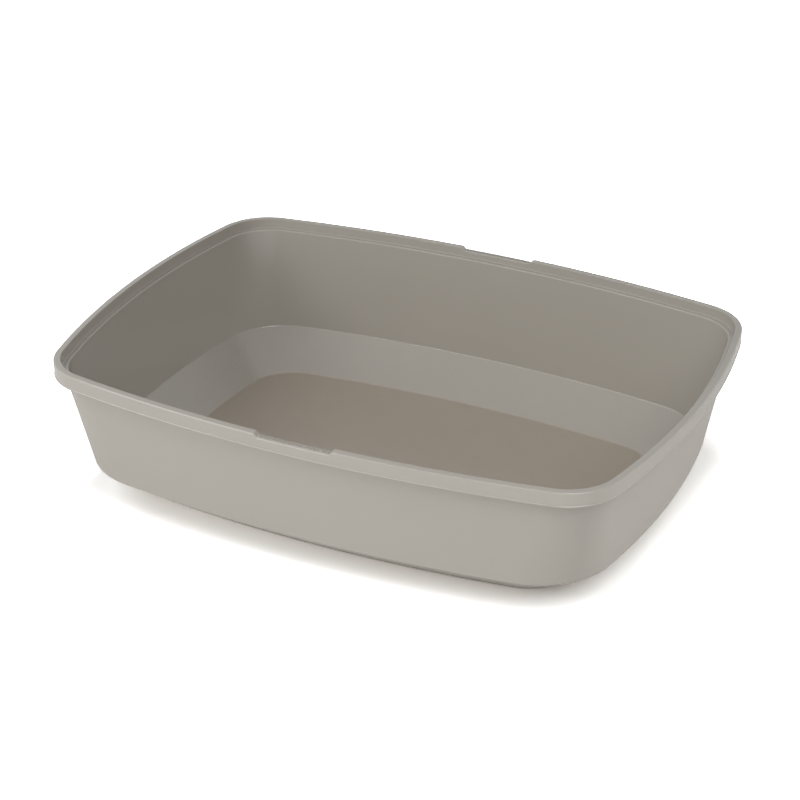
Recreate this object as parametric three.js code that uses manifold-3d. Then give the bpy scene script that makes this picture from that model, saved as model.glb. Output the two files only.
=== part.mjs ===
// A sifting litter box: a litter pan, a slotted sifting tray and a catch pan, nested in one another.
// Millimetres. X runs along the box, Y across it and Z up. The origin is the middle of the base.

import * as THREE from 'three';
import { mergeVertices } from 'three/addons/utils/BufferGeometryUtils.js';
import Module from 'manifold-3d';

const wasm = await Module();
wasm.setup();

// Overall size, over the litter pan's rim.
const boxLength = 500;
const boxWidth = 385;
const boxHeight = 122.5;

// The rim seen from above: two long sides and two ends, all bowed outwards, and round corners between them.
const sideBowRadius = 1115;
const endBowRadius = 689;
const rimCornerRadius = 47;

// The mouldings and the room between them when they are nested.
const wall = 1.2;
const nestGap = 0.3;

// The litter pan's rim, the apron outside it and the band inside it.
const rimTopWidth = 5.8;
const rimOuterFillet = 1.5;
const rimInnerFillet = 0.9;
const apronDrop = 12.5;
const apronDraft = 0.4;
const bandDraft = 1.3;

// The litter pan's inside, down from the rim: ledge, steep wall, kink, slope and floor.
const ledgeDepth = 7.9;
const ledgeWidth = 3.5;
const ledgeCornerRadius = 42;
const kinkDepth = 91.8;
const kinkInset = 25.4;
const kinkCornerRadius = 60;
const floorInset = 62.2;
const floorCornerRadius = 41;

// The grips, two shallow dips in the rim, one in the middle of each long side.
const gripDip = 2.7;
const gripFloorLength = 60;
const gripSlant = 2.5;

// The fine ribs across the floor of each grip, as many as fit. They keep clear of the rounded edges of the
// rim and of the floor's ends.
const gripRibPitch = 2.02;
const gripRibFootWidth = 1.3;
const gripRibTopWidth = 0.7;
const gripRibHeight = 0.4;
const gripRibRoot = 0.3;
const gripRibEndMargin = 0.2;
const gripRibSideMargin = 0.5;

// The catch pan's upright rim, which stands inside the apron, with a finger relief under each grip.
const catchRimClearance = 0.5;
const catchRimDraft = 0.5;
const catchRimHeadroom = 0.8;
const shoulderChamfer = 1;
const reliefFloorLength = 70;
const reliefSlant = 4;

// The sifting tray's lift tabs, which stand in the reliefs, and how far their feet run into the flange.
const liftTabLength = 50;
const liftTabHeadroom = 0.8;
const liftTabRoot = 1.5;

// The slots that the litter falls through.
const slotLength = 44;
const slotWidth = 8;
const slotWebAcross = 6;
const slotWebAlong = 8;
const slotMargin = 5;
const cutOverrun = 1;

// How many facets stand for each round stretch.
const sideSteps = 4;
const cornerSteps = 7;
const endSteps = 4;
const slotEndSteps = 3;

const plasticColour = 0xaca79f;
const plasticRoughness = 0.5;

// Places that follow from the sizes above. Insets run inwards from the rim's outline, depths down from
// its top.
const floorDepth = boxHeight - 3 * wall - 2 * nestGap;
const trayFloorDepth = floorDepth + wall + nestGap;
const bandFootInset = rimTopWidth + bandDraft;
const ledgeInset = bandFootInset + ledgeWidth;
const catchRimTopInset = rimTopWidth - wall - catchRimClearance;
const catchRimFootInset = catchRimTopInset + catchRimDraft;
const catchRimDepth = wall + catchRimHeadroom;
const catchLedgeDepth = ledgeDepth + 2 * (wall + nestGap);
const trayFlangeInset = catchRimFootInset + nestGap;
const trayFlangeDepth = ledgeDepth + wall + nestGap;

// A dip lowers the rim in the middle of both long sides. Its ends slant.
const gripSection = { depth: gripDip, floorLength: gripFloorLength, slant: gripSlant };
const reliefSection = {
  depth: catchLedgeDepth - catchRimDepth,
  floorLength: reliefFloorLength,
  slant: reliefSlant,
};

function dipAt(x, dip) {
  const beyondFloor = Math.abs(x) - dip.floorLength / 2;
  return dip.depth * THREE.MathUtils.clamp(1 - beyondFloor / dip.slant, 0, 1);
}

// Every outline has points where the dips begin and end, so that their edges run straight across the rim.
const dipColumns = [0, ...[gripSection, reliefSection].flatMap(({ floorLength, slant }) => {
  return [floorLength / 2, floorLength / 2 + slant];
})].sort((left, right) => left - right);

// A station is one level of a moulding: its inset, its corner radius and its depth.
function rimStation(inset, depth, dip = null) {
  return { inset, corner: rimCornerRadius - inset, depth, dip };
}

const insideStations = [
  { inset: ledgeInset, corner: ledgeCornerRadius, depth: ledgeDepth },
  { inset: kinkInset, corner: kinkCornerRadius, depth: kinkDepth },
  { inset: floorInset, corner: floorCornerRadius, depth: floorDepth },
];

// The direction square to a stretch of the section, pointing out of the pan.
function outwardNormal(from, to) {
  return new THREE.Vector2(from.depth - to.depth, to.inset - from.inset).normalize();
}

const downwards = new THREE.Vector2(0, 1);
const wallNormal = outwardNormal(insideStations[0], insideStations[1]);
const slopeNormal = outwardNormal(insideStations[1], insideStations[2]);
const normalsAtStations = [[downwards, wallNormal], [wallNormal, slopeNormal], [slopeNormal, downwards]];

// The ledge edge, the kink and the floor edge of a surface that lies a distance outside the litter pan's
// inside.
function layer(distance) {
  return insideStations.map((station, index) => {
    const [before, after] = normalsAtStations[index];
    const shift = before.clone().add(after).multiplyScalar(distance / (1 + before.dot(after)));
    return {
      inset: station.inset + shift.x,
      corner: station.corner - shift.x,
      depth: station.depth + shift.y,
      dip: null,
    };
  });
}

function layerUpwards(distance) {
  return layer(distance).reverse();
}

// The three arcs of a quarter of a station's outline: the side's bow, the corner and the end's bow. Each
// starts at the angle that it faces there, counted from +X. The corner's circle touches both bows from
// inside.
function outlineArcs(station) {
  const halfLength = boxLength / 2 - station.inset;
  const halfWidth = boxWidth / 2 - station.inset;
  const sideRadius = sideBowRadius - station.inset;
  const endRadius = endBowRadius - station.inset;
  const sideCentre = new THREE.Vector2(0, halfWidth - sideRadius);
  const endCentre = new THREE.Vector2(halfLength - endRadius, 0);

  // The corner's centre is known by its distance from the centres of both bows.
  const fromSide = sideRadius - station.corner;
  const fromEnd = endRadius - station.corner;
  const apart = endCentre.clone().sub(sideCentre);
  const span = apart.length();
  const along = (fromSide ** 2 - fromEnd ** 2 + span ** 2) / (2 * span);
  const across = Math.sqrt(fromSide ** 2 - along ** 2);
  const unit = apart.divideScalar(span);
  const cornerCentre = new THREE.Vector2(
    sideCentre.x + unit.x * along + unit.y * across,
    sideCentre.y + unit.y * along - unit.x * across,
  );
  const cornerStart = cornerCentre.clone().sub(sideCentre).angle();
  const endStart = cornerCentre.clone().sub(endCentre).angle();
  return {
    side: { centre: sideCentre, radius: sideRadius, start: Math.PI / 2 },
    corner: { centre: cornerCentre, radius: station.corner, start: cornerStart },
    end: { centre: endCentre, radius: endRadius, start: endStart },
  };
}

// The point of an outline that faces an angle.
function pointFacing({ side, corner, end }, angle) {
  const sideOrCorner = angle > corner.start ? side : corner;
  const { centre, radius } = angle < end.start ? end : sideOrCorner;
  return new THREE.Vector2(centre.x + radius * Math.cos(angle), centre.y + radius * Math.sin(angle));
}

function evenly(start, end, steps) {
  return Array.from({ length: steps }, (unused, step) => start + (end - start) * (step + 1) / steps);
}

// A quarter of a station's outline, from the middle of a long side to the middle of an end. Matching points
// of all outlines face the same way, so that the walls between them don't twist.
const rimArcs = outlineArcs(rimStation(0, 0));

function quarterOutline(station) {
  const arcs = outlineArcs(station);
  const columnAngles = dipColumns.map((x) => Math.acos(x / arcs.side.radius));
  const angles = [
    ...columnAngles,
    ...evenly(columnAngles[columnAngles.length - 1], rimArcs.corner.start, sideSteps),
    ...evenly(rimArcs.corner.start, rimArcs.end.start, cornerSteps),
    ...evenly(rimArcs.end.start, 0, endSteps),
  ];
  return angles.map((angle) => pointFacing(arcs, angle));
}

// A whole outline, anticlockwise from the middle of the +X end, as points at the station's depth.
function ring(station) {
  const quarter = quarterOutline(station);
  const sideToEnd = quarter.slice(0, -1);
  const endToSide = quarter.slice(1).reverse();
  const outline = [
    ...endToSide.map(({ x, y }) => [x, y]),
    ...sideToEnd.map(({ x, y }) => [-x, y]),
    ...endToSide.map(({ x, y }) => [-x, -y]),
    ...sideToEnd.map(({ x, y }) => [x, -y]),
  ];
  return outline.map(([x, y]) => {
    const lowered = station.dip ? dipAt(x, station.dip) : 0;
    return new THREE.Vector3(x, y, -station.depth - lowered);
  });
}

// A moulding's skin runs through its rings, from the floor's upper face up, over the edge and down to its
// underside. A flat face closes the first ring and another closes the last.
function moulding(stations) {
  const rings = stations.map(ring);
  const count = rings[0].length;
  const points = rings.flat();
  const faces = [];
  const lastRing = (rings.length - 1) * count;
  const floorCentre = points.push(new THREE.Vector3(0, 0, rings[0][0].z)) - 1;
  const undersideCentre = points.push(new THREE.Vector3(0, 0, rings[rings.length - 1][0].z)) - 1;
  for (let i = 0; i < count; i++) {
    const next = (i + 1) % count;
    faces.push(floorCentre, i, next);
    faces.push(undersideCentre, lastRing + next, lastRing + i);
    for (let below = 0; below < lastRing; below += count) {
      const above = below + count;
      faces.push(below + i, above + i, below + next);
      faces.push(below + next, above + i, above + next);
    }
  }
  const geometry = new THREE.BufferGeometry().setFromPoints(points);
  geometry.setIndex(faces);
  return geometry;
}

function toSolid(geometry) {
  const bare = geometry.clone();
  bare.deleteAttribute('normal');
  bare.deleteAttribute('uv');
  const merged = mergeVertices(bare);
  return new wasm.Manifold(new wasm.Mesh({
    numProp: 3,
    vertProperties: new Float32Array(merged.attributes.position.array),
    triVerts: new Uint32Array(merged.index.array),
  }));
}

function toGeometry(solid) {
  const mesh = solid.getMesh();
  const geometry = new THREE.BufferGeometry();
  geometry.setAttribute('position', new THREE.BufferAttribute(mesh.vertProperties, mesh.numProp));
  geometry.setIndex(new THREE.BufferAttribute(mesh.triVerts, 1));
  return geometry;
}

// The quarter round along an edge of the rim, from its upright face to its top.
function roundedEdge(faceInset, radius, inwards) {
  return [0, Math.PI / 4, Math.PI / 2].map((angle) => {
    const inset = faceInset + inwards * radius * (1 - Math.cos(angle));
    return rimStation(inset, radius * (1 - Math.sin(angle)), gripSection);
  });
}

// The ribs of the grip on the +Y side, square to the rim and side by side along its bow.
function gripRibs() {
  const ribRoom = gripFloorLength - gripRibFootWidth - 2 * gripRibSideMargin;
  const pitches = Math.floor(ribRoom / gripRibPitch);
  const outerInset = rimOuterFillet + gripRibEndMargin;
  const innerInset = rimTopWidth - rimInnerFillet - gripRibEndMargin;
  const halfFoot = gripRibFootWidth / 2;
  const halfTop = gripRibTopWidth / 2;
  const section = new THREE.Shape();
  section.moveTo(-halfFoot, -gripRibRoot);
  section.lineTo(halfFoot, -gripRibRoot);
  section.lineTo(halfFoot, 0);
  section.lineTo(halfTop, gripRibHeight);
  section.lineTo(-halfTop, gripRibHeight);
  section.lineTo(-halfFoot, 0);
  const rib = new THREE.ExtrudeGeometry(section, { depth: innerInset - outerInset, bevelEnabled: false })
    .rotateX(Math.PI / 2)
    .translate(0, sideBowRadius - outerInset, -gripDip);
  return Array.from({ length: pitches + 1 }, (unused, index) => {
    const alongBow = (index - pitches / 2) * gripRibPitch;
    const placed = rib.clone().rotateZ(alongBow / sideBowRadius);
    return toSolid(placed.translate(0, boxWidth / 2 - sideBowRadius, 0));
  });
}

function makeLitterPan() {
  const shell = toSolid(moulding([
    ...layerUpwards(0),
    rimStation(bandFootInset, ledgeDepth),
    ...roundedEdge(rimTopWidth, rimInnerFillet, -1),
    ...roundedEdge(0, rimOuterFillet, 1).reverse(),
    rimStation(apronDraft, apronDrop),
    rimStation(apronDraft + wall, apronDrop),
    rimStation(wall, wall, gripSection),
    rimStation(rimTopWidth - wall, wall, gripSection),
    rimStation(bandFootInset - wall, ledgeDepth + wall),
    ...layer(wall),
  ]));
  const ribs = [0, 180].flatMap((turn) => gripRibs().map((rib) => rib.rotate([0, 0, turn])));
  return toGeometry(shell.add(wasm.Manifold.union(ribs)));
}

function makeCatchPan() {
  const shoulderDepth = catchLedgeDepth + wall;
  return moulding([
    ...layerUpwards(2 * (wall + nestGap)),
    rimStation(catchRimFootInset, catchLedgeDepth),
    rimStation(catchRimTopInset, catchRimDepth, reliefSection),
    rimStation(catchRimTopInset - wall, catchRimDepth, reliefSection),
    rimStation(catchRimFootInset - wall, shoulderDepth - shoulderChamfer),
    rimStation(catchRimFootInset - wall + shoulderChamfer, shoulderDepth),
    ...layer(3 * wall + 2 * nestGap),
  ]);
}

// A plate that follows the bow of the +Y side between two insets and two depths.
function bowedPlate(outerInset, innerInset, topDepth, bottomDepth, length) {
  const centreY = boxWidth / 2 - sideBowRadius;
  const halfAngle = Math.asin(length / 2 / sideBowRadius);
  const start = Math.PI / 2 - halfAngle;
  const end = Math.PI / 2 + halfAngle;
  const shape = new THREE.Shape();
  shape.absarc(0, centreY, sideBowRadius - outerInset, start, end, false);
  shape.absarc(0, centreY, sideBowRadius - innerInset, end, start, true);
  const plate = new THREE.ExtrudeGeometry(shape, {
    depth: bottomDepth - topDepth,
    curveSegments: sideSteps,
    bevelEnabled: false,
  });
  return plate.translate(0, 0, -bottomDepth);
}

// A lift tab stands in line with the catch pan's rim, on a foot that reaches out from the tray's flange.
function liftTab() {
  const outerInset = catchRimTopInset - wall;
  const footEndInset = trayFlangeInset + liftTabRoot;
  const flangeBottom = trayFlangeDepth + wall;
  const tabTop = wall + gripDip + liftTabHeadroom;
  const foot = bowedPlate(outerInset, footEndInset, trayFlangeDepth, flangeBottom, liftTabLength);
  const upright = bowedPlate(outerInset, outerInset + wall, tabTop, flangeBottom, liftTabLength);
  return toSolid(foot).add(toSolid(upright));
}

function slotShape() {
  const half = (slotLength - slotWidth) / 2;
  const radius = slotWidth / 2;
  const shape = new THREE.Shape();
  shape.absarc(half, 0, radius, -Math.PI / 2, Math.PI / 2, false);
  shape.absarc(-half, 0, radius, Math.PI / 2, Math.PI * 1.5, false);
  return shape;
}

// Whether a point lies inside an outline that bulges everywhere.
function isInside(outline, x, y) {
  return outline.every((from, index) => {
    const to = outline[(index + 1) % outline.length];
    return (to.x - from.x) * (y - from.y) - (to.y - from.y) * (x - from.x) > 0;
  });
}

// Rows of slots over the floor, as many as fit inside its edge.
function sieveSlots() {
  const floorEdge = layer(2 * wall + nestGap)[2];
  const field = ring({ ...floorEdge, inset: floorEdge.inset + slotMargin });
  const pitchAlong = slotLength + slotWebAlong;
  const pitchAcross = slotWidth + slotWebAcross;
  const columns = Math.ceil(boxLength / 2 / pitchAlong);
  const rows = Math.ceil(boxWidth / 2 / pitchAcross);
  const top = -trayFloorDepth + cutOverrun;
  const slot = new THREE.ExtrudeGeometry(slotShape(), {
    depth: wall + 2 * cutOverrun,
    curveSegments: slotEndSteps,
    bevelEnabled: false,
  }).translate(0, 0, top - wall - 2 * cutOverrun);
  const slots = [];
  for (let column = -columns; column <= columns; column++) {
    for (let row = -rows; row <= rows; row++) {
      const x = column * pitchAlong;
      const y = row * pitchAcross;
      const corners = [-1, 1].flatMap((side) => [-1, 1].map((end) => {
        return [x + end * slotLength / 2, y + side * slotWidth / 2];
      }));
      if (corners.every(([cornerX, cornerY]) => isInside(field, cornerX, cornerY))) {
        slots.push(toSolid(slot.clone().translate(x, y, 0)));
      }
    }
  }
  return slots;
}

function makeSiftingTray() {
  const shell = toSolid(moulding([
    ...layerUpwards(wall + nestGap),
    rimStation(trayFlangeInset, trayFlangeDepth),
    rimStation(trayFlangeInset, trayFlangeDepth + wall),
    ...layer(2 * wall + nestGap),
  ]));
  const tabs = [0, 180].map((turn) => liftTab().rotate([0, 0, turn]));
  const withTabs = tabs.reduce((solid, tab) => solid.add(tab), shell);
  return toGeometry(withTabs.subtract(wasm.Manifold.union(sieveSlots())));
}

// Each pan hangs from the level of the rim's top, so its geometry is written in depths below it.
function plasticPart(name, geometry) {
  const material = new THREE.MeshStandardMaterial({
    color: plasticColour,
    roughness: plasticRoughness,
    metalness: 0,
  });
  const mesh = new THREE.Mesh(geometry, material);
  mesh.name = name;
  mesh.position.z = boxHeight;
  return mesh;
}

const group = new THREE.Group();
group.add(plasticPart('catch_pan', makeCatchPan()));
group.add(plasticPart('sifting_tray', makeSiftingTray()));
group.add(plasticPart('litter_pan', makeLitterPan()));

export default group;
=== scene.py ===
# %% [markdown]
# # A sifting litter box
#
# Three thin plastic pans nest in one another. The litter pan on top holds the litter and carries the rim with
# its two ribbed grips. Under it lies a sifting tray with a slotted floor, and under that a catch pan, which
# is the outside wall that one sees. All three are the same taupe plastic.
#
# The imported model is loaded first. It says where everything is, in metres, so each piece that is modelled
# here goes where the model's own node is and takes its place in the picture.

import math

import bpy
from mathutils import Matrix, Vector


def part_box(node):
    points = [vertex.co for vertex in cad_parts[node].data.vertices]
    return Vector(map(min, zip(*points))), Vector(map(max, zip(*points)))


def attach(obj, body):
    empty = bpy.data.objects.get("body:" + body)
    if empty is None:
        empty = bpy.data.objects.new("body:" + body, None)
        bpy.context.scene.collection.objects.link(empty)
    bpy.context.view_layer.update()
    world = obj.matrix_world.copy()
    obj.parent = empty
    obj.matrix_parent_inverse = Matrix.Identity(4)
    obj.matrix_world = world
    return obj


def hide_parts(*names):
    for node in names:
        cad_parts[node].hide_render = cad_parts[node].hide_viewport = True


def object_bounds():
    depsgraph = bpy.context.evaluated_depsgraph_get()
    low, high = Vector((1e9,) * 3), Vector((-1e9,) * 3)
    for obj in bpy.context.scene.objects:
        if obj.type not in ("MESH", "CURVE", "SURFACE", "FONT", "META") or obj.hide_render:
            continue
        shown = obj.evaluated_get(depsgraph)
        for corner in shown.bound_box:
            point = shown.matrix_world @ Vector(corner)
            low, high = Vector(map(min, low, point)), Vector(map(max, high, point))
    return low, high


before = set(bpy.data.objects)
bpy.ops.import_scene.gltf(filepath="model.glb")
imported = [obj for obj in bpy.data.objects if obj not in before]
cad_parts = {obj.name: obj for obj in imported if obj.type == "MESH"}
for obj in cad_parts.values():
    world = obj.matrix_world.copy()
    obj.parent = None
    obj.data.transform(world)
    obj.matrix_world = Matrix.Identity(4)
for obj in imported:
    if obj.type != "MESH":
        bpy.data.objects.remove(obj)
cad_low, cad_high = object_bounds()
print("model box", [round(v, 4) for v in (*cad_low, *cad_high)])

# %% [markdown]
# ## The camera
#
# The photograph was taken from the front, a little to the right and from above, with a long lens: opposite
# edges of the rim hardly run together. The angles and the distance below are the ones at which the rim and
# the grips of the model fall on the same pixels as in the photograph.
#
# A Track To constraint could aim the camera, but it would keep the picture level, and the photograph is
# turned by nearly a degree. So the camera is placed by three directions: the way back from the object to the
# camera, the picture's right and the picture's up.

# %% Camera angles
AZIMUTH = math.radians(24.8815)
ELEVATION = math.radians(27.4288)
ROLL = math.radians(0.8638)

back = Vector((
    math.sin(AZIMUTH) * math.cos(ELEVATION),
    -math.cos(AZIMUTH) * math.cos(ELEVATION),
    math.sin(ELEVATION),
))
level_right = Vector((math.cos(AZIMUTH), math.sin(AZIMUTH), 0))
level_up = back.cross(level_right)
picture_right = math.cos(ROLL) * level_right + math.sin(ROLL) * level_up
picture_up = math.cos(ROLL) * level_up - math.sin(ROLL) * level_right
print("way back to the camera", [round(v, 3) for v in back])

# %% Place the camera
CAMERA_DISTANCE = 2.02421
LOOK_ASIDE = 0.0026756
LOOK_DOWN = 0.0478627
LENS = 114.619
SENSOR_WIDTH = 36


def deselect_all():
    bpy.ops.object.select_all(action="DESELECT")


rim_centre = Vector((0, 0, cad_high.z))
camera_place = rim_centre + CAMERA_DISTANCE * back - LOOK_ASIDE * picture_right - LOOK_DOWN * picture_up
camera_turn = Matrix((picture_right, picture_up, back)).transposed().to_4x4()

deselect_all()
bpy.ops.object.camera_add()
camera = bpy.context.object
camera.name = "camera"
camera.matrix_world = Matrix.Translation(camera_place) @ camera_turn
camera.data.lens = LENS
camera.data.sensor_width = SENSOR_WIDTH
bpy.context.scene.camera = camera
print("camera at", [round(v, 3) for v in camera_place])

# %% [markdown]
# ## The outline of the rim
#
# Seen from above the box is a rectangle whose four sides all bow outwards, with round corners between them.
# A scaled or bevelled rectangle would not give that shape, because every level of the pans keeps an even
# distance from the rim. So the outline is worked out from circles: one wide circle for the bow of a long
# side, one for the bow of an end, and a small one that touches both from inside for the corner.
#
# A level of a pan is called a station. It says how far the outline is drawn in from the rim's, how round its
# corner is and how deep it lies below the rim. A station on the rim also says which dip it follows down into
# the grips, and by what draft the face below it leans in, so that this face stays even under the dip.

# %% Sizes of the outline
pan_low, pan_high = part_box("litter_pan")
BOX_LENGTH = pan_high.x - pan_low.x
BOX_WIDTH = pan_high.y - pan_low.y
RIM_TOP = pan_high.z
SIDE_BOW_RADIUS = 1.115
END_BOW_RADIUS = 0.689
RIM_CORNER_RADIUS = 0.047
print("length, width and height", [round(v, 4) for v in (BOX_LENGTH, BOX_WIDTH, RIM_TOP)])


# %% Stations
def station(inset, corner, depth, dip=None, draft=0):
    return {"inset": inset, "corner": corner, "depth": depth, "dip": dip, "draft": draft}


def rim_station(inset, depth, dip=None, draft=0):
    return station(inset, RIM_CORNER_RADIUS - inset, depth, dip, draft)


# %% The circles of an outline
def outline_arcs(level):
    """The centre, the radius and the first angle of the three circles in a quarter of the outline."""
    side_radius = SIDE_BOW_RADIUS - level["inset"]
    end_radius = END_BOW_RADIUS - level["inset"]
    side_centre = Vector((0, BOX_WIDTH / 2 - level["inset"] - side_radius))
    end_centre = Vector((BOX_LENGTH / 2 - level["inset"] - end_radius, 0))
    from_side = side_radius - level["corner"]
    from_end = end_radius - level["corner"]
    apart = end_centre - side_centre
    span = apart.length
    along = (from_side ** 2 - from_end ** 2 + span ** 2) / (2 * span)
    across = math.sqrt(from_side ** 2 - along ** 2)
    unit = apart / span
    corner_centre = side_centre + along * unit + across * Vector((unit.y, -unit.x))
    corner_start = math.atan2(corner_centre.y - side_centre.y, corner_centre.x - side_centre.x)
    end_start = math.atan2(corner_centre.y - end_centre.y, corner_centre.x - end_centre.x)
    return {
        "side": (side_centre, side_radius),
        "corner": (corner_centre, level["corner"]),
        "end": (end_centre, end_radius),
        "corner_start": corner_start,
        "end_start": end_start,
    }


def point_facing(arcs, angle):
    """The point of a quarter outline that faces an angle, counted from +X."""
    name = "side" if angle > arcs["corner_start"] else "corner" if angle > arcs["end_start"] else "end"
    centre, radius = arcs[name]
    return centre + radius * Vector((math.cos(angle), math.sin(angle)))


rim_arcs = outline_arcs(rim_station(0, 0))
print("centre of the rim's corner", [round(v, 4) for v in rim_arcs["corner"][0]])

# %% [markdown]
# ## The dips in the rim
#
# In the middle of both long sides the rim of the litter pan dips down and forms a grip. The catch pan's own
# rim, which is hidden under it, is cut down to its ledge there, so that fingers and the tray's tabs have
# room. A dip could be cut with a Boolean, but then the rounded edges of the rim would stop at the cut. Here
# every level of the rim follows the dip, so the roundings run down into the grip and up again.

# %% Dips
WALL = 0.0012
NEST_GAP = 0.0003
LEDGE_DEPTH = 0.0079
CATCH_LEDGE_DEPTH = LEDGE_DEPTH + 2 * (WALL + NEST_GAP)
CATCH_RIM_HEADROOM = 0.0008
CATCH_RIM_DEPTH = WALL + CATCH_RIM_HEADROOM
GRIP = {"depth": 0.0027, "floor": 0.060, "slant": 0.0025, "softness": 0.35}
RELIEF = {"depth": CATCH_LEDGE_DEPTH - CATCH_RIM_DEPTH, "floor": 0.070, "slant": 0.004, "softness": 0.2}


def dip_at(x, dip):
    """How far the rim is lowered at x. The ends of the dip slant, and soft bends lead in and out of them."""
    share = (abs(x) - dip["floor"] / 2) / dip["slant"]
    soft = dip["softness"]

    def risen(s):
        if s < -soft:
            return 0
        return (s + soft) ** 2 / (4 * soft) if s < soft else s

    return dip["depth"] * (1 - risen(share) + risen(share - 1))


print("dip of the grip in mm", [round(1000 * dip_at(x / 1000, GRIP), 2) for x in range(28, 35)])

# %% [markdown]
# ## Columns of points
#
# Every level gets the same number of points, and matching points face the same way, so the walls between
# two levels don't twist. The points lie close together where the shape turns fast: in the corners, and at
# the ends of the dips, where the rim comes down within a few millimetres. Equal steps all round would need
# many more points for the same soft bends.

# %% Columns over the dips
GRIP_LEAD = 0.0018
RELIEF_LEAD = 0.0007
DIP_TAIL = 0.001


def between(start, end, steps):
    return [start + (end - start) * step / steps for step in range(1, steps + 1)]


# The ends of the stretches over a dip, each with its number of columns
dip_stops = (
    (GRIP["floor"] / 2 - GRIP_LEAD, 9),
    (RELIEF["floor"] / 2 - RELIEF_LEAD, 18),
    (RELIEF["floor"] / 2 + RELIEF["slant"] + DIP_TAIL, 8),
)
dip_columns = [0.0]
for stop, steps in dip_stops:
    dip_columns += between(dip_columns[-1], stop, steps)
print("columns over half a dip", len(dip_columns))

# %% A quarter of a level
SIDE_STEPS = 22
CORNER_STEPS = 20
END_STEPS = 26


def quarter(level):
    """The points of a level from the middle of the +Y side to the middle of the +X end."""
    arcs = outline_arcs(level)
    radius = arcs["side"][1]
    columns = [math.acos(x / radius) for x in dip_columns]
    angles = [
        *columns,
        *between(columns[-1], rim_arcs["corner_start"], SIDE_STEPS),
        *between(rim_arcs["corner_start"], rim_arcs["end_start"], CORNER_STEPS),
        *between(rim_arcs["end_start"], 0, END_STEPS),
    ]
    return [point_facing(arcs, angle) for angle in angles]


print("points in a quarter", len(quarter(rim_station(0, 0))))


# %% A whole level
def ring(level):
    """All points of a level, anticlockwise from the middle of the +X end."""
    points = quarter(level)
    side_to_end = points[:-1]
    end_to_side = points[:0:-1]
    flat = [
        *((p.x, p.y) for p in end_to_side),
        *((-p.x, p.y) for p in side_to_end),
        *((-p.x, -p.y) for p in end_to_side),
        *((p.x, -p.y) for p in side_to_end),
    ]

    def lowered(x, y):
        down = dip_at(x, level["dip"]) if level["dip"] else 0
        return Vector((x, y - math.copysign(down * level["draft"], y), RIM_TOP - level["depth"] - down))

    return [lowered(x, y) for x, y in flat]


print("points in a ring", len(ring(rim_station(0, 0))))

# %% [markdown]
# ## How a pan is modelled
#
# A pan is one skin of even thickness. By hand one would start with a circle, extrude it level by level
# down the inside, over the rim and down the outside, and fill the two floors. The same is done here. Each
# point of the first circle remembers its number in an attribute. Extrude copies attributes to the new
# points, so after each extrude every new point can be put at its own place on the next level. A Solidify
# modifier on the inside alone would be shorter, but the apron and the rims aren't offsets of the inside.

# %% Put points on a level
def place_selected(mesh, level):
    """Puts the selected points of a pan on a level, each at the place that its number stands for."""
    places = ring(level)
    numbers = mesh.attributes["column"].data
    stations = mesh.attributes["station"].data
    for vertex in mesh.vertices:
        if vertex.select:
            vertex.co = places[numbers[vertex.index].value]
            stations[vertex.index].value = level["number"]


# %% Extrude a pan through its levels
def extrude_pan(name, levels):
    """A closed skin through the levels, from the floor's upper face over the rim to the underside."""
    for number, level in enumerate(levels):
        level["number"] = number
    count = len(ring(levels[0]))
    deselect_all()
    bpy.ops.mesh.primitive_circle_add(vertices=count, radius=BOX_WIDTH / 2)
    pan = bpy.context.object
    pan.name = pan.data.name = name
    mesh = pan.data
    for attribute in ("column", "station"):
        mesh.attributes.new(attribute, "INT", "POINT")
    mesh.attributes["column"].data.foreach_set("value", list(range(count)))
    place_selected(mesh, levels[0])

    bpy.ops.object.mode_set(mode="EDIT")
    bpy.ops.mesh.select_mode(type="EDGE")
    bpy.ops.mesh.select_all(action="SELECT")
    bpy.ops.mesh.edge_face_add()
    bpy.ops.mesh.region_to_loop()
    for level in levels[1:]:
        bpy.ops.mesh.extrude_edges_move()
        bpy.ops.object.mode_set(mode="OBJECT")
        place_selected(mesh, level)
        bpy.ops.object.mode_set(mode="EDIT")
    bpy.ops.mesh.edge_face_add()
    bpy.ops.mesh.select_all(action="SELECT")
    bpy.ops.mesh.normals_make_consistent(inside=False)
    bpy.ops.object.mode_set(mode="OBJECT")
    return pan


# %% [markdown]
# ## Rounded edges and smooth faces
#
# A mould leaves no sharp edge, and a small rounding is what catches the light. Edges that run level all round
# get it from one Bevel modifier: the weight of each edge says how much of the bevel's width it takes. In
# edit mode every width would need a bevel of its own.
#
# Smooth shading alone would make the large flat faces look dented beside the narrow roundings. The Weighted
# Normal modifier lets the large faces decide.

# %% Round the edges
BEVEL_WIDTH = 0.010
BEVEL_STEPS = 4


def activate(piece):
    deselect_all()
    piece.select_set(True)
    bpy.context.view_layer.objects.active = piece


def round_edges(pan, levels):
    """Rounds those level edges of a pan whose level has a rounding."""
    mesh = pan.data
    stations = [item.value for item in mesh.attributes["station"].data]
    weight = mesh.attributes.new("bevel_weight_edge", "FLOAT", "EDGE")
    for edge in mesh.edges:
        first, second = (stations[v] for v in edge.vertices)
        if first == second:
            weight.data[edge.index].value = levels[first].get("rounding", 0) / BEVEL_WIDTH
    activate(pan)
    bevel = pan.modifiers.new("rounding", "BEVEL")
    bevel.limit_method = "WEIGHT"
    bevel.offset_type = "OFFSET"
    bevel.width = BEVEL_WIDTH
    bevel.segments = BEVEL_STEPS
    bevel.use_clamp_overlap = False
    bpy.ops.object.modifier_apply(modifier=bevel.name)


# %% Smooth the faces
SMOOTH_ANGLE = math.radians(40)


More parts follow.
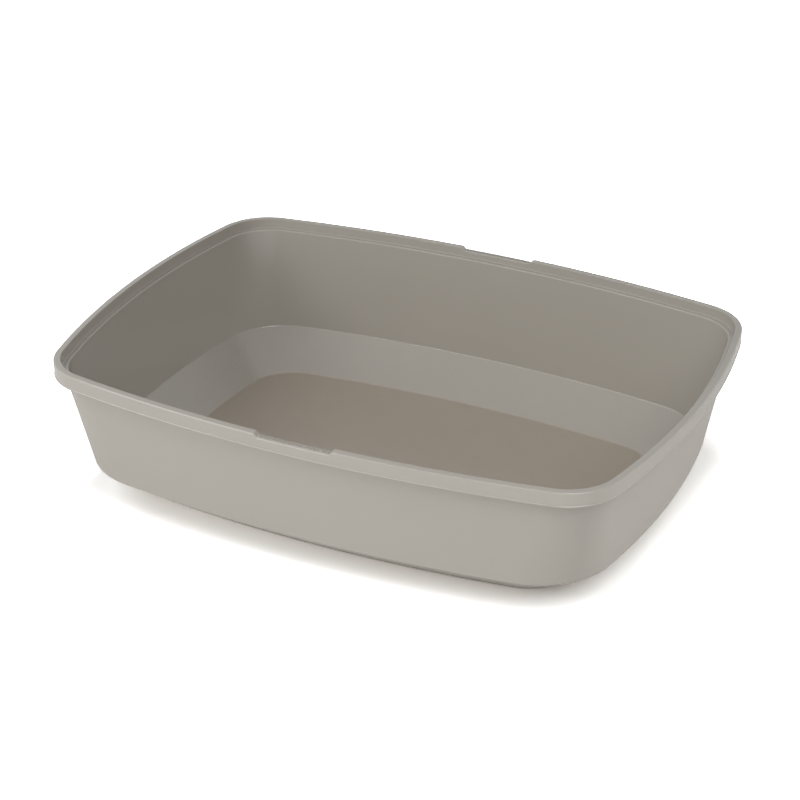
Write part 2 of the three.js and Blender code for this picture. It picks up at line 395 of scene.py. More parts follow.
def smooth(piece):
    """Smooth shading that keeps flat faces flat and sharp edges sharp."""
    activate(piece)
    bpy.ops.object.shade_smooth_by_angle(angle=SMOOTH_ANGLE)
    weighted = piece.modifiers.new("even_normals", "WEIGHTED_NORMAL")
    weighted.keep_sharp = True
    bpy.ops.object.modifier_apply(modifier=weighted.name)


# %% [markdown]
# ## The levels of the three pans
#
# The visible inside is measured: a band below the rim, a narrow ledge, a long steep wall down to a kink, a
# softer slope and the floor. The other surfaces lie a wall or a wall and a gap further out. Scaled copies
# of the inside would leave walls of uneven thickness. So each surface is worked out from the inside by moving
# its edges square to both faces that meet there, and every wall has the same thickness.

# %% The visible inside
RIM_TOP_WIDTH = 0.0058
BAND_LEAN = 0.0013
BAND_FOOT_INSET = RIM_TOP_WIDTH + BAND_LEAN
LEDGE_WIDTH = 0.0035
LEDGE_INSET = BAND_FOOT_INSET + LEDGE_WIDTH
LEDGE_CORNER = 0.042
KINK_INSET = 0.0254
KINK_CORNER = 0.060
KINK_DEPTH = 0.0918
FLOOR_INSET = 0.0622
FLOOR_CORNER = 0.041
FLOOR_DEPTH = RIM_TOP - 3 * WALL - 2 * NEST_GAP

inside = [
    station(LEDGE_INSET, LEDGE_CORNER, LEDGE_DEPTH),
    station(KINK_INSET, KINK_CORNER, KINK_DEPTH),
    station(FLOOR_INSET, FLOOR_CORNER, FLOOR_DEPTH),
]


def outward_normal(upper, lower):
    return Vector((upper["depth"] - lower["depth"], lower["inset"] - upper["inset"])).normalized()


DOWNWARDS = Vector((0, 1))
wall_normal = outward_normal(inside[0], inside[1])
slope_normal = outward_normal(inside[1], inside[2])
meeting = [(DOWNWARDS, wall_normal), (wall_normal, slope_normal), (slope_normal, DOWNWARDS)]
print("wall faces", [round(math.degrees(math.atan2(n.y, -n.x)), 1) for n in (wall_normal, slope_normal)])

# %% Layers outside it
HIDDEN_LEDGE_ROUNDING = 0.0008
KINK_ROUNDING = 0.0008
FLOOR_ROUNDING = 0.0013


def layer(distance, ledge_rounding=HIDDEN_LEDGE_ROUNDING):
    """Ledge edge, kink and floor edge of the surface that lies a distance outside the visible inside."""
    moved = []
    roundings = (ledge_rounding, KINK_ROUNDING, FLOOR_ROUNDING)
    for level, (before, after), rounding in zip(inside, meeting, roundings):
        shift = (before + after) * distance / (1 + before.dot(after))
        edge = station(level["inset"] + shift.x, level["corner"] - shift.x, level["depth"] + shift.y)
        edge["rounding"] = rounding
        moved.append(edge)
    return moved


def with_rounding(level, rounding):
    level["rounding"] = rounding
    return level


print("inner floor edge inset", [round(layer(distance)[-1]["inset"], 4) for distance in (0, WALL)])

# %% [markdown]
# ## The litter pan
#
# This is the pan that one sees: its floor, slope and steep wall, the ledge with a band above it, the
# flat rim and the apron outside it. The rim's top falls a little to the outside. Its outer edge has a wider
# rounding than the inner one, and it is the bright line in the photograph. A bevel would do for a level edge,
# but these two run down into the grips, so their roundings are levels of their own. A fine bead along the
# apron's foot gives the second bright line.

# %% Edges of the rim
RIM_FALL = 0.00035
RIM_OUTER_ROUNDING = 0.0013
RIM_INNER_ROUNDING = 0.0008
RIM_EDGE_STEPS = 5
BAND_DRAFT = BAND_LEAN / LEDGE_DEPTH


def rounded_rim_edge(face_inset, radius, inwards, draft=0, fall=0):
    """The quarter round along an edge of the rim, from its upright face to its top, following the grips."""
    angles = [math.pi / 2 * step / RIM_EDGE_STEPS for step in range(RIM_EDGE_STEPS + 1)]
    insets = [face_inset + inwards * radius * (1 - math.cos(a)) for a in angles]
    depths = [fall + radius * (1 - math.sin(a)) for a in angles]
    return [rim_station(inset, depth, GRIP, draft) for inset, depth in zip(insets, depths)]


rim_inner_edge = rounded_rim_edge(RIM_TOP_WIDTH, RIM_INNER_ROUNDING, -1, draft=BAND_DRAFT)
rim_outer_edge = rounded_rim_edge(0, RIM_OUTER_ROUNDING, 1, fall=RIM_FALL)
rim_flat = rim_inner_edge[-1]["inset"] - rim_outer_edge[-1]["inset"]
print("flat part of the rim's top in mm", round(1000 * rim_flat, 2))

# %% Litter pan
APRON_DROP = 0.0125
APRON_DRAFT = 0.0004
BEAD_HEIGHT = 0.0011
BEAD_DEPTH = 0.0003
BEAD_TOP_ROUNDING = 0.0001
FINE_ROUNDING = 0.0002
LIP_ROUNDING = 0.0003
STEP_ROUNDING = 0.0004
LEDGE_ROUNDING = 0.0011

bead_inset = APRON_DRAFT - BEAD_DEPTH
bead_top = APRON_DROP - BEAD_HEIGHT
litter_levels = [
    *layer(0, LEDGE_ROUNDING)[::-1],
    with_rounding(rim_station(BAND_FOOT_INSET, LEDGE_DEPTH), STEP_ROUNDING),
    *rim_inner_edge,
    *rim_outer_edge[::-1],
    rim_station(APRON_DRAFT, bead_top),
    with_rounding(rim_station(bead_inset, bead_top + BEAD_DEPTH), BEAD_TOP_ROUNDING),
    with_rounding(rim_station(bead_inset, APRON_DROP), FINE_ROUNDING),
    with_rounding(rim_station(APRON_DRAFT + WALL, APRON_DROP), LIP_ROUNDING),
    rim_station(WALL, WALL, GRIP),
    rim_station(RIM_TOP_WIDTH - WALL, WALL, GRIP, BAND_DRAFT),
    with_rounding(rim_station(BAND_FOOT_INSET - WALL, LEDGE_DEPTH + WALL), STEP_ROUNDING),
    *layer(WALL),
]
litter_pan = extrude_pan("litter_pan_shell", litter_levels)
round_edges(litter_pan, litter_levels)
smooth(litter_pan)
print("litter pan faces", len(litter_pan.data.polygons))
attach(litter_pan, "litter_pan")
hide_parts("litter_pan")

# %% [markdown]
# ## The ribs in the grips
#
# Fine ribs across the floor of each grip keep a thumb from slipping. One rib is a cube that is stretched to
# size and bevelled so that its upper edges are round. An Array modifier could repeat it, but only along a
# straight line. So the others are copies, each turned a little further about the centre of the side's bow,
# which keeps every rib square to the rim, and all ribs of a grip are joined to one piece. As many ribs are
# made as fit on the floor of the grip.

# %% Select by a test
def select_only(piece, kind, wanted):
    """In edit mode, leaves only those points, edges or faces selected for which a test holds."""
    bpy.ops.mesh.select_mode(type=kind)
    bpy.ops.mesh.select_all(action="DESELECT")
    bpy.ops.object.mode_set(mode="OBJECT")
    elements = {"VERT": piece.data.vertices, "EDGE": piece.data.edges, "FACE": piece.data.polygons}
    for element in elements[kind]:
        element.select = wanted(element)
    bpy.ops.object.mode_set(mode="EDIT")


# %% Copy and join
def join_copies(model, moves):
    """One piece made of a copy of the model for each move. The model itself goes."""
    copies = []
    for move in moves:
        copy = model.copy()
        copy.data = model.data.copy()
        copy.data.transform(move)
        bpy.context.collection.objects.link(copy)
        copies.append(copy)
    bpy.data.objects.remove(model)
    deselect_all()
    for copy in copies:
        copy.select_set(True)
    bpy.context.view_layer.objects.active = copies[0]
    bpy.ops.object.join()
    return bpy.context.object


# %% One rib
RIB_WIDTH = 0.0011
RIB_HEIGHT = 0.0004
RIB_ROOT = 0.0006
RIB_OUTER_INSET = 0.0012
RIB_INNER_MARGIN = 0.0003
RIB_INNER_INSET = RIM_TOP_WIDTH - RIB_INNER_MARGIN
RIB_ROUNDING = RIB_WIDTH / 4
print("rib length in mm", round(1000 * (RIB_INNER_INSET - RIB_OUTER_INSET), 2))


def make_rib():
    """One rib, lying across the rim at the middle of the +Y side."""
    deselect_all()
    bpy.ops.mesh.primitive_cube_add(size=1)
    rib = bpy.context.object
    bpy.ops.object.mode_set(mode="EDIT")
    length = RIB_INNER_INSET - RIB_OUTER_INSET
    bpy.ops.transform.resize(value=(RIB_WIDTH, length, RIB_HEIGHT + RIB_ROOT))
    bpy.ops.transform.translate(value=(
        0,
        BOX_WIDTH / 2 - (RIB_OUTER_INSET + RIB_INNER_INSET) / 2,
        RIM_TOP - GRIP["depth"] + (RIB_HEIGHT - RIB_ROOT) / 2,
    ))
    grip_floor = RIM_TOP - GRIP["depth"]
    select_only(rib, "EDGE", lambda edge: all(rib.data.vertices[v].co.z > grip_floor for v in edge.vertices))
    bpy.ops.mesh.bevel(offset=RIB_ROUNDING, segments=BEVEL_STEPS, affect="EDGES")
    bpy.ops.object.mode_set(mode="OBJECT")
    return rib


# %% The ribs of both grips
RIB_PITCH = 0.00202
RIB_SIDE_MARGIN = 0.0005
RIB_ROOM = GRIP["floor"] - RIB_WIDTH - 2 * RIB_SIDE_MARGIN
RIB_COUNT = math.floor(RIB_ROOM / RIB_PITCH) + 1
BOW_CENTRE = Vector((0, BOX_WIDTH / 2 - SIDE_BOW_RADIUS, 0))


def half_turned(half_turn):
    return Matrix.Rotation(math.pi * half_turn, 4, "Z")


def rib_move(index):
    """The turn about the centre of the bow that brings the middle rib to the place of another."""
    angle = (index - (RIB_COUNT - 1) / 2) * RIB_PITCH / SIDE_BOW_RADIUS
    return Matrix.Translation(BOW_CENTRE) @ Matrix.Rotation(angle, 4, "Z") @ Matrix.Translation(-BOW_CENTRE)


def make_grip_ribs(name, half_turn):
    piece = join_copies(make_rib(), [half_turned(half_turn) @ rib_move(index) for index in range(RIB_COUNT)])
    piece.name = piece.data.name = name
    smooth(piece)
    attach(piece, "litter_pan")
    return piece


ribs_back = make_grip_ribs("grip_ribs_back", 0)
ribs_front = make_grip_ribs("grip_ribs_front", 1)
print("ribs", RIB_COUNT, "rib faces", len(ribs_back.data.polygons))

# %% [markdown]
# ## The catch pan
#
# The lowest pan stands on the ground. Its wall comes up under the apron, steps in at a small shoulder and
# goes on as an upright rim that the apron hides. In the middle of each long side that rim is cut down, so
# that it leaves room for the tray's lift tabs and for the grips above them. A wider copy of the litter pan
# would have the apron too, so the catch pan goes through levels of its own, with the same walls.

# %% Catch pan
CATCH_RIM_CLEARANCE = 0.0005
CATCH_RIM_DRAFT = 0.0005
CATCH_RIM_TOP_INSET = RIM_TOP_WIDTH - WALL - CATCH_RIM_CLEARANCE
CATCH_RIM_FOOT_INSET = CATCH_RIM_TOP_INSET + CATCH_RIM_DRAFT
SHOULDER_CHAMFER = 0.001
SHOULDER_DEPTH = CATCH_LEDGE_DEPTH + WALL

shoulder_inset = CATCH_RIM_FOOT_INSET - WALL
catch_levels = [
    *layer(2 * (WALL + NEST_GAP))[::-1],
    with_rounding(rim_station(CATCH_RIM_FOOT_INSET, CATCH_LEDGE_DEPTH), STEP_ROUNDING),
    with_rounding(rim_station(CATCH_RIM_TOP_INSET, CATCH_RIM_DEPTH, RELIEF), FINE_ROUNDING),
    with_rounding(rim_station(CATCH_RIM_TOP_INSET - WALL, CATCH_RIM_DEPTH, RELIEF), FINE_ROUNDING),
    rim_station(shoulder_inset, SHOULDER_DEPTH - SHOULDER_CHAMFER),
    with_rounding(rim_station(shoulder_inset + SHOULDER_CHAMFER, SHOULDER_DEPTH), STEP_ROUNDING),
    *layer(3 * WALL + 2 * NEST_GAP),
]
catch_pan = extrude_pan("catch_pan_shell", catch_levels)
round_edges(catch_pan, catch_levels)
smooth(catch_pan)
print("catch pan faces", len(catch_pan.data.polygons))
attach(catch_pan, "catch_pan")
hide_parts("catch_pan")

# %% [markdown]
# ## The sifting tray
#
# The tray between the pans has a flange that lies on the catch pan's ledge. Its floor is a sieve of long
# round-ended slots, as many as fit. One slot is modelled as a cutter: a circle that is pulled out to the
# slot's length, extruded down through the floor and widened at both faces, so that the slot's edges are
# broken. The copies of it are joined, and a Boolean modifier cuts them all at once. Insets in a grid of
# faces could give slots too, but the grid would have to end at the floor's bowed edge.

# %% Sifting tray shell
TRAY_FLANGE_INSET = CATCH_RIM_FOOT_INSET + NEST_GAP
TRAY_FLANGE_DEPTH = LEDGE_DEPTH + WALL + NEST_GAP
TRAY_FLOOR_DEPTH = RIM_TOP - 2 * WALL - NEST_GAP
tray_levels = [
    *layer(WALL + NEST_GAP)[::-1],
    with_rounding(rim_station(TRAY_FLANGE_INSET, TRAY_FLANGE_DEPTH), LIP_ROUNDING),
    with_rounding(rim_station(TRAY_FLANGE_INSET, TRAY_FLANGE_DEPTH + WALL), LIP_ROUNDING),
    *layer(2 * WALL + NEST_GAP),
]
tray = extrude_pan("sifting_tray_shell", tray_levels)
round_edges(tray, tray_levels)
print("tray faces before the slots", len(tray.data.polygons))

# %% Sizes of a slot
SLOT_LENGTH = 0.044
SLOT_WIDTH = 0.008
SLOT_REACH = (SLOT_LENGTH - SLOT_WIDTH) / 2
SLOT_CIRCLE_POINTS = 20
SLOT_FLARE = 0.00035
CUT_OVERRUN = 0.001
print("slot in mm", round(1000 * SLOT_LENGTH, 1), "by", round(1000 * SLOT_WIDTH, 1))


def grow_outline(cutter, width):
    """Moves the selected points of a cutter away from the slot's middle line by a width."""
    bpy.ops.object.mode_set(mode="OBJECT")
    for vertex in cutter.data.vertices:
        if vertex.select:
            middle = Vector((max(-SLOT_REACH, min(SLOT_REACH, vertex.co.x)), 0))
            away = (vertex.co.xy - middle).normalized() * width
            vertex.co += Vector((away.x, away.y, 0))
    bpy.ops.object.mode_set(mode="EDIT")


# %% One slot cutter
def make_slot_cutter():
    """One cutter at the middle of the tray, wider above and below the floor than inside it."""
    deselect_all()
    bpy.ops.mesh.primitive_circle_add(
        vertices=SLOT_CIRCLE_POINTS, radius=SLOT_WIDTH / 2, rotation=(0, 0, math.pi / SLOT_CIRCLE_POINTS)
    )
    cutter = bpy.context.object
    bpy.ops.object.transform_apply(location=False, rotation=True, scale=False)
    bpy.ops.object.mode_set(mode="EDIT")
    for side in (1, -1):
        select_only(cutter, "VERT", lambda vertex: 0 < vertex.co.x * side <= SLOT_WIDTH / 2)
        bpy.ops.transform.translate(value=(side * SLOT_REACH, 0, 0))
    bpy.ops.mesh.select_all(action="SELECT")
    bpy.ops.transform.translate(value=(0, 0, RIM_TOP - TRAY_FLOOR_DEPTH + CUT_OVERRUN))
    bpy.ops.mesh.edge_face_add()
    flare = SLOT_FLARE + CUT_OVERRUN
    grow_outline(cutter, flare)
    for height, width in ((flare, -flare), (WALL - 2 * SLOT_FLARE, 0), (flare, flare)):
        bpy.ops.mesh.extrude_region_move(TRANSFORM_OT_translate={"value": (0, 0, -height)})
        grow_outline(cutter, width)
    bpy.ops.mesh.select_all(action="SELECT")
    bpy.ops.mesh.normals_make_consistent(inside=False)
    bpy.ops.object.mode_set(mode="OBJECT")
    return cutter


# %% Places of the slots
SLOT_WEB_ALONG = 0.008
SLOT_WEB_ACROSS = 0.006
SLOT_MARGIN = 0.005


def slot_places():
    """Middles of the slots that fit inside the floor's edge."""
    edge = tray_levels[-1]
    field = ring(station(edge["inset"] + SLOT_MARGIN, edge["corner"], 0))

    def fits(x, y):
        return all(
            (b.x - a.x) * (y - a.y) - (b.y - a.y) * (x - a.x) > 0
            for a, b in zip(field, field[1:] + field[:1])
        )

    def slot_fits(x, y):
        return all(fits(x + i * SLOT_LENGTH / 2, y + j * SLOT_WIDTH / 2) for i in (-1, 1) for j in (-1, 1))

    along = SLOT_LENGTH + SLOT_WEB_ALONG
    across = SLOT_WIDTH + SLOT_WEB_ACROSS
    columns = math.ceil(BOX_LENGTH / 2 / along)
    rows = math.ceil(BOX_WIDTH / 2 / across)
    grid = [(i * along, j * across) for i in range(-columns, columns + 1) for j in range(-rows, rows + 1)]
    return [place for place in grid if slot_fits(*place)]


slots = [Matrix.Translation((x, y, 0)) for x, y in slot_places()]
print("slots", len(slots))


# %% Cut the slots
def combine(target, other, operation):
    """Cuts another piece out of a target, or adds it, by a Boolean modifier. The other piece goes."""
    activate(target)
    boolean = target.modifiers.new("combined", "BOOLEAN")
    boolean.operation = operation
    boolean.solver = "EXACT"
    boolean.object = other
    bpy.ops.object.modifier_apply(modifier=boolean.name)
    bpy.data.objects.remove(other)


combine(tray, join_copies(make_slot_cutter(), slots), "DIFFERENCE")
print("tray faces with the slots", len(tray.data.polygons))

# %% [markdown]
# ## The tray's lift tabs
#
# With the litter pan off, the tray is picked up by two tabs. Each is an L: a foot that reaches out from the
# flange and a plate that stands up on it, in line with the catch pan's rim. It starts as a flat grid of many
# short stretches, so that it can follow the bow. The grid is extruded to the foot, its outer strip is
# extruded on to the plate, and two corners of the plate are bevelled round. Two cubes would be fewer steps,
# but they would stay straight beside the bowed rim.

# %% Sizes of a lift tab
TAB_LENGTH = 0.050
TAB_STRETCHES = 16
TAB_HEADROOM = 0.0008
TAB_TOP_DEPTH = GRIP["depth"] + WALL + TAB_HEADROOM
TAB_ROOT = 0.0015
TAB_OUTER_INSET = CATCH_RIM_TOP_INSET - WALL
TAB_FOOT_END_INSET = TRAY_FLANGE_INSET + TAB_ROOT
TAB_CORNER = 0.002
TAB_FOOT_TOP = RIM_TOP - TRAY_FLANGE_DEPTH
TAB_PLATE_HEIGHT = TRAY_FLANGE_DEPTH - TAB_TOP_DEPTH
TOLERANCE = 1e-5
print("plate of a lift tab in mm", round(1000 * TAB_PLATE_HEIGHT, 2), "high")


# %% The foot of a lift tab
def make_tab_foot():
    """A straight foot, with a line of points along the inside of the place where the plate will stand."""
    deselect_all()
    bpy.ops.mesh.primitive_grid_add(x_subdivisions=TAB_STRETCHES, y_subdivisions=2, size=1)
    tab = bpy.context.object
    bpy.ops.object.mode_set(mode="EDIT")
    bpy.ops.transform.resize(value=(TAB_LENGTH, TAB_FOOT_END_INSET - TAB_OUTER_INSET, 1))
    bpy.ops.object.mode_set(mode="OBJECT")
    inner = min(v.co.y for v in tab.data.vertices)
    outer = max(v.co.y for v in tab.data.vertices)
    for vertex in tab.data.vertices:
        if inner + TOLERANCE < vertex.co.y < outer - TOLERANCE:
            vertex.co.y = outer - WALL
        vertex.co.z = TAB_FOOT_TOP - WALL
    bpy.ops.object.mode_set(mode="EDIT")
    bpy.ops.mesh.select_all(action="SELECT")
    bpy.ops.mesh.extrude_region_move(TRANSFORM_OT_translate={"value": (0, 0, WALL)})
    bpy.ops.object.mode_set(mode="OBJECT")
    return tab


# %% A whole lift tab
def make_lift_tab(half_turn):
    """A lift tab on the +Y side, or with one half turn on the -Y side."""
    tab = make_tab_foot()
    outer = max(v.co.y for v in tab.data.vertices)

    def on_outer_strip(face):
        return face.center.z > TAB_FOOT_TOP - TOLERANCE and face.center.y > outer - WALL

    def at_plate_corner(edge):
        ends = [tab.data.vertices[v].co for v in edge.vertices]
        return all(e.z > TAB_FOOT_TOP + TOLERANCE and abs(e.x) > TAB_LENGTH / 2 - TOLERANCE for e in ends)

    bpy.ops.object.mode_set(mode="EDIT")
    select_only(tab, "FACE", on_outer_strip)
    bpy.ops.mesh.extrude_region_move(TRANSFORM_OT_translate={"value": (0, 0, TAB_PLATE_HEIGHT)})
    select_only(tab, "EDGE", at_plate_corner)
    bpy.ops.mesh.bevel(offset=TAB_CORNER, segments=BEVEL_STEPS, affect="EDGES")
    bpy.ops.mesh.select_all(action="SELECT")
    bpy.ops.mesh.normals_make_consistent(inside=False)
    bpy.ops.object.mode_set(mode="OBJECT")
    for vertex in tab.data.vertices:
        sag = SIDE_BOW_RADIUS - math.sqrt(SIDE_BOW_RADIUS ** 2 - vertex.co.x ** 2)
        vertex.co.y += BOX_WIDTH / 2 - TAB_OUTER_INSET - outer - sag
    tab.data.transform(half_turned(half_turn))
    return tab


# %% Add both tabs to the tray
for half_turn in (0, 1):
    combine(tray, make_lift_tab(half_turn), "UNION")
smooth(tray)
print("tray faces", len(tray.data.polygons))
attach(tray, "sifting_tray")
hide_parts("sifting_tray")

# %% [markdown]
# ## The plastic
#
# All pans are the same warm grey-brown polypropylene with a satin face: light spreads softly on it, and
# edges catch a thin highlight. Real mouldings are never quite even, so slow noise varies colour and gloss
# a little, and a very fine bump breaks up the reflection. The lower slope has a coarser grain from the
# mould. The litter pan's floor is tinted warmer: painted bounce light, standing in for light from the taupe
# walls. Both could be painted on with weights or images. Height tells them apart just as well and needs no
# painting: the floor lies lowest, and the slope between it and the kink. The catch pan is rougher: its walls
# mirror nothing.

# %% A node in one line
def new_node(tree, kind, values=None, **settings):
    """A shader node with its settings, and with values on some of its sockets."""
    node = tree.nodes.new("ShaderNode" + kind)
    for name, setting in settings.items():
        setattr(node, name, setting)
    for socket, value in (values or {}).items():
        node.inputs[socket].default_value = value
    return node


# %% Colour of the plastic
TAUPE = (0.421, 0.394, 0.350)
TINT_SHIFT = 0.025
# Painted bounce light: this tint makes the floor warmer, as if lit by light from the taupe walls.
PAINTED_BOUNCE_TINT = (1.07, 1.0, 0.94, 1)
FLOOR_TOP = RIM_TOP - FLOOR_DEPTH
FLOOR_FADE = (0.0010, 0.0001)
print("litter pan's floor at", round(FLOOR_TOP, 4))


def taupe_times(factor):
    return (*(channel * factor for channel in TAUPE), 1)


def plastic_colour(tree, height, clouds):
    """Taupe that varies in slow clouds, with painted warm bounce light on the litter pan's floor."""
    tints = {"A": taupe_times(1 - TINT_SHIFT), "B": taupe_times(1 + TINT_SHIFT)}
    tint = new_node(tree, "Mix", tints, data_type="RGBA")
    tree.links.new(clouds, tint.inputs["Factor"])
    fade = {"From Min": FLOOR_TOP + FLOOR_FADE[0], "From Max": FLOOR_TOP + FLOOR_FADE[1]}
    on_floor = new_node(tree, "MapRange", fade)
    tree.links.new(height, on_floor.inputs["Value"])
    # Painted bounce light: the floor's colour is multiplied by the warm tint in place of light from the
    # walls.
    painted_bounce = new_node(tree, "Mix", {"B": PAINTED_BOUNCE_TINT}, data_type="RGBA", blend_type="MULTIPLY")
    tree.links.new(on_floor.outputs["Result"], painted_bounce.inputs["Factor"])
    tree.links.new(tint.outputs["Result"], painted_bounce.inputs["A"])
    return painted_bounce.outputs["Result"]


# %% Grain of the plastic
GRAIN_SCALE = 500
GRAIN_DEPTH = 0.0002
FINE_GRAIN = 0.02
SLOPE_GRAIN = 0.9
KINK_HEIGHT = RIM_TOP - KINK_DEPTH
KINK_FADE = 0.001
print("kink at", round(KINK_HEIGHT, 4))


def plastic_normal(tree, place, height):
    """A fine bump everywhere, stronger below the kink."""
    fade = {"From Min": KINK_HEIGHT + KINK_FADE, "From Max": KINK_HEIGHT - KINK_FADE}
    on_slope = new_node(tree, "MapRange", fade, interpolation_type="SMOOTHSTEP")
    tree.links.new(height, on_slope.inputs["Value"])
    strength = new_node(tree, "MapRange", {"To Min": FINE_GRAIN, "To Max": SLOPE_GRAIN})
    tree.links.new(on_slope.outputs["Result"], strength.inputs["Value"])
    grain = new_node(tree, "TexNoise", {"Scale": GRAIN_SCALE, "Detail": 2})
    tree.links.new(place, grain.inputs["Vector"])
    bump = new_node(tree, "Bump", {"Distance": GRAIN_DEPTH})
    tree.links.new(grain.outputs["Fac"], bump.inputs["Height"])
    tree.links.new(strength.outputs["Result"], bump.inputs["Strength"])
    return bump.outputs["Normal"]


# %% Taupe plastic
SATIN = (0.10, 0.16)
MATT = (0.34, 0.42)
CLOUD_SCALE = 14


def make_taupe_plastic(name, roughness):
    """The plastic with a finish, which is the lowest and the highest roughness."""
    material = bpy.data.materials.new(name)
    material.use_nodes = True
    tree = material.node_tree
    shader = tree.nodes["Principled BSDF"]
    shader.inputs["Metallic"].default_value = 0
    shader.inputs["IOR"].default_value = 1.49

    place = new_node(tree, "TexCoord").outputs["Object"]
    split = new_node(tree, "SeparateXYZ")
    tree.links.new(place, split.inputs["Vector"])
    height = split.outputs["Z"]
    clouds = new_node(tree, "TexNoise", {"Scale": CLOUD_SCALE, "Detail": 3})
    tree.links.new(place, clouds.inputs["Vector"])
    gloss = new_node(tree, "MapRange", {"To Min": roughness[0], "To Max": roughness[1]})
    tree.links.new(clouds.outputs["Fac"], gloss.inputs["Value"])

    tree.links.new(plastic_colour(tree, height, clouds.outputs["Fac"]), shader.inputs["Base Color"])
    tree.links.new(gloss.outputs["Result"], shader.inputs["Roughness"])
    tree.links.new(plastic_normal(tree, place, height), shader.inputs["Normal"])
    return material


def dress(pieces, material):
    for piece in pieces:
        piece.data.materials.clear()
        piece.data.materials.append(material)
    print(material.name, "on", [piece.name for piece in pieces])


dress((litter_pan, tray, ribs_front, ribs_back), make_taupe_plastic("taupe_plastic", SATIN))
dress((catch_pan,), make_taupe_plastic("taupe_plastic_matt", MATT))

# %% [markdown]
# ## The floor
#
# The box stands on a white sweep. In the picture it is pure white and holds only a narrow soft shadow. More
# light would do that too, but it would bleach the object. So the floor is a plain pale surface, and only for
# rays from the camera its colour is raised, a little beside the foot of the box and more further out. What
# the object mirrors of it is raised by a small share of that.

# %% Distance from the foot of the box
FOOT_HALF = (0.188, 0.130, 0)


def distance_from_foot(tree):
    """How far a point of the floor lies outside the rectangle that the box stands on."""
    spot = new_node(tree, "TexCoord")
    absolute = new_node(tree, "VectorMath", operation="ABSOLUTE")
    tree.links.new(spot.outputs["Object"], absolute.inputs[0])
    beyond = new_node(tree, "VectorMath", {1: FOOT_HALF}, operation="SUBTRACT")
    tree.links.new(absolute.outputs["Vector"], beyond.inputs[0])
    outside = new_node(tree, "VectorMath", operation="MAXIMUM")
    tree.links.new(beyond.outputs["Vector"], outside.inputs[0])
    away = new_node(tree, "VectorMath", operation="LENGTH")
    tree.links.new(outside.outputs["Vector"], away.inputs[0])
    return away.outputs["Value"]


# %% Material of the sweep
SWEEP_GREY = (0.8, 0.8, 0.8, 1)
LIFT_NEAR = 1.75
LIFT_FAR = 4.6
LIFT_FROM = 0.030
LIFT_TO = 0.110
MIRRORED_SHARE = 0.12


def make_sweep():
    material = bpy.data.materials.new("white_sweep")
    material.use_nodes = True
    tree = material.node_tree
    tree.nodes.clear()
    raised = {"From Min": LIFT_FROM, "From Max": LIFT_TO, "To Min": LIFT_NEAR, "To Max": LIFT_FAR}
    lift = new_node(tree, "MapRange", raised)
    tree.links.new(distance_from_foot(tree), lift.inputs["Value"])
    seen = new_node(tree, "LightPath")
    share = new_node(tree, "Math", {1: MIRRORED_SHARE}, operation="MULTIPLY_ADD")
    tree.links.new(seen.outputs["Is Glossy Ray"], share.inputs[0])
    tree.links.new(seen.outputs["Is Camera Ray"], share.inputs[2])
    mix = new_node(tree, "Mix", {"A": SWEEP_GREY}, data_type="RGBA")
    tree.links.new(share.outputs["Value"], mix.inputs["Factor"])
    tree.links.new(lift.outputs["Result"], mix.inputs["B"])
    paint = new_node(tree, "BsdfDiffuse")
    tree.links.new(mix.outputs["Result"], paint.inputs["Color"])
    surface = new_node(tree, "OutputMaterial")
    tree.links.new(paint.outputs["BSDF"], surface.inputs["Surface"])
    return material


# %% Floor
SWEEP_SIZE = 4

deselect_all()
bpy.ops.mesh.primitive_plane_add(size=SWEEP_SIZE, location=(0, 0, 0))
floor = bpy.context.object
floor.name = "floor"
floor.data.materials.append(make_sweep())
print("floor", [round(v, 2) for v in floor.dimensions])

# %% [markdown]
# ## The light
#
# The photograph was lit softly from all round, a little more from the left. A sky alone would give that, but
# it would light inside and outside alike, and in the photograph the outer walls are much paler than the
# inside. So there are two kinds of lamps. The softboxes stand high enough to shine over the rim and into
# the box. The low lamps stand below the level of the rim, so of the box they reach only the outer walls. What
# the camera sees behind the floor, and what the plastic mirrors, is plain white.

# %% World
SKY_STRENGTH = 0.22

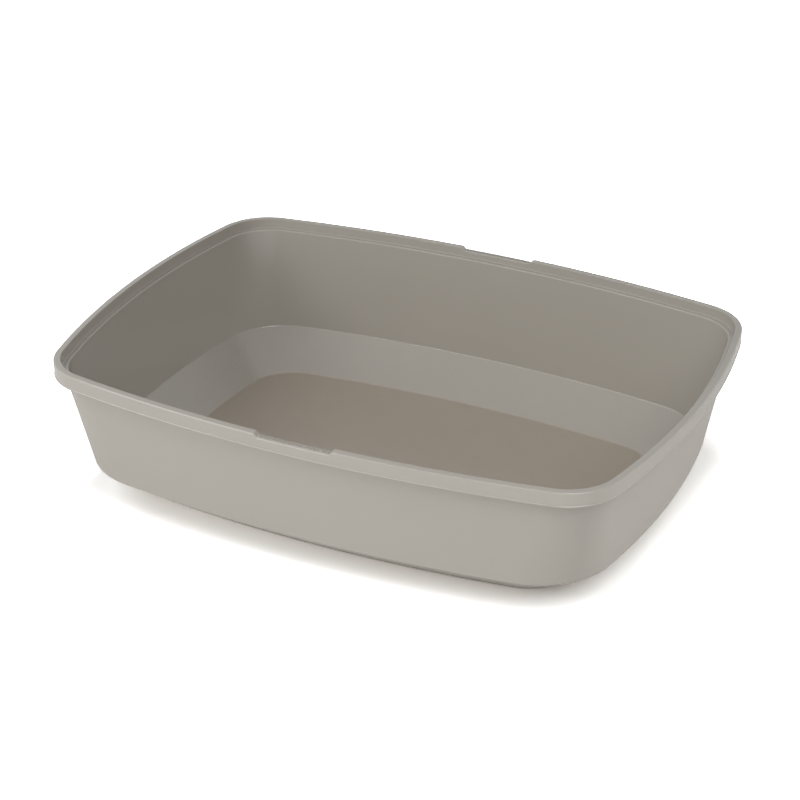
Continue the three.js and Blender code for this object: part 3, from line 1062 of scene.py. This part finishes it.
world = bpy.data.worlds.new("studio")
world.use_nodes = True
bpy.context.scene.world = world
tree = world.node_tree
tree.nodes.clear()
sky = new_node(tree, "Background", {"Strength": SKY_STRENGTH})
white = new_node(tree, "Background", {"Color": (1, 1, 1, 1), "Strength": 1})
path = new_node(tree, "LightPath")
seen_or_mirrored = new_node(tree, "Math", operation="MAXIMUM")
tree.links.new(path.outputs["Is Camera Ray"], seen_or_mirrored.inputs[0])
tree.links.new(path.outputs["Is Glossy Ray"], seen_or_mirrored.inputs[1])
choose = new_node(tree, "MixShader")
tree.links.new(seen_or_mirrored.outputs[0], choose.inputs[0])
tree.links.new(sky.outputs[0], choose.inputs[1])
tree.links.new(white.outputs[0], choose.inputs[2])
surface = new_node(tree, "OutputWorld")
tree.links.new(choose.outputs[0], surface.inputs["Surface"])
bpy.context.scene.view_settings.view_transform = "Standard"
print("world nodes", len(tree.nodes))

# %% Lamps
LOW_ELEVATION = 1.4
LOW_DISTANCE = 2.4
LOW_SIZE = 0.12


def softbox(name, azimuth, power, elevation, distance, size):
    """A square soft lamp that looks at the box. Azimuth 0 stands in front of the box, 90 at its right end."""
    a, e = math.radians(azimuth), math.radians(elevation)
    direction = Vector((math.sin(a) * math.cos(e), -math.cos(a) * math.cos(e), math.sin(e)))
    deselect_all()
    bpy.ops.object.light_add(type="AREA", location=distance * direction)
    lamp = bpy.context.object
    lamp.name = name
    lamp.rotation_euler = direction.to_track_quat("Z", "Y").to_euler()
    lamp.data.size = size
    lamp.data.energy = power
    lamp.visible_camera = False
    return lamp


softbox("left_softbox", azimuth=-32, power=9, elevation=20, distance=1.8, size=0.9)
softbox("left_top_softbox", azimuth=-62, power=3, elevation=42, distance=1.2, size=0.6)
softbox("right_top_softbox", azimuth=50, power=5, elevation=46, distance=1.2, size=0.6)
low_lamps = (
    ("low_front_lamp", 5, 10),
    ("low_right_lamp", 95, 5),
    ("low_back_lamp", 135, 23),
    ("low_far_lamp", 190, 16),
)
for name, azimuth, power in low_lamps:
    softbox(name, azimuth, power, LOW_ELEVATION, LOW_DISTANCE, LOW_SIZE).visible_glossy = False
print("low lamps at height", round(LOW_DISTANCE * math.sin(math.radians(LOW_ELEVATION)), 3))
